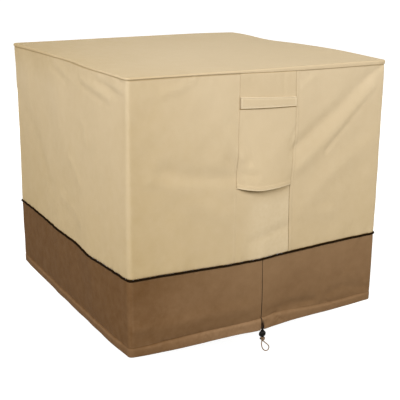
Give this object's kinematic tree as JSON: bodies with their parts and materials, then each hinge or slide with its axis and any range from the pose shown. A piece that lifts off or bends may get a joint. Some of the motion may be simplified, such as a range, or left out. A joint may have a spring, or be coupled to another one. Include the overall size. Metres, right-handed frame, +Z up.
{
  "type": "air conditioner cover",
  "caption": "Square fitted cloth cover, open below, with a rolled top edge, a vent hood with a strap, dark piping, a brown skirt, and a hem drawn in by a cord with a lock.",
  "frame": {"origin": "under the middle of the top panel, on its underside, where it rests on the unit that it covers", "axes": "+Z up, -Y out of the front with the vent hood and the cord lock, +X to the right seen from the front"},
  "size_m": [0.8951, 0.9089, 0.8665],
  "materials": {
    "khaki_cloth": "matte coated woven polyester, khaki",
    "brown_cloth": "matte coated woven polyester, brown",
    "piping_cloth": "woven piping, dark brown",
    "cord": "braided cord, tan",
    "lock_plastic": "black moulded plastic"
  },
  "bodies": {
    "root": {"top_panel": "khaki_cloth", "lip_strip": "khaki_cloth", "wall_band": "khaki_cloth", "vent_strip": "khaki_cloth", "vent_flap": "khaki_cloth", "handle_strap": "khaki_cloth", "piping": "piping_cloth", "skirt": "brown_cloth", "cord_neck_left": "cord", "cord_neck_right": "cord", "cord_lock": "lock_plastic", "cord_knot": "cord", "cord_loop": "cord"}
  },
  "joints": []
}
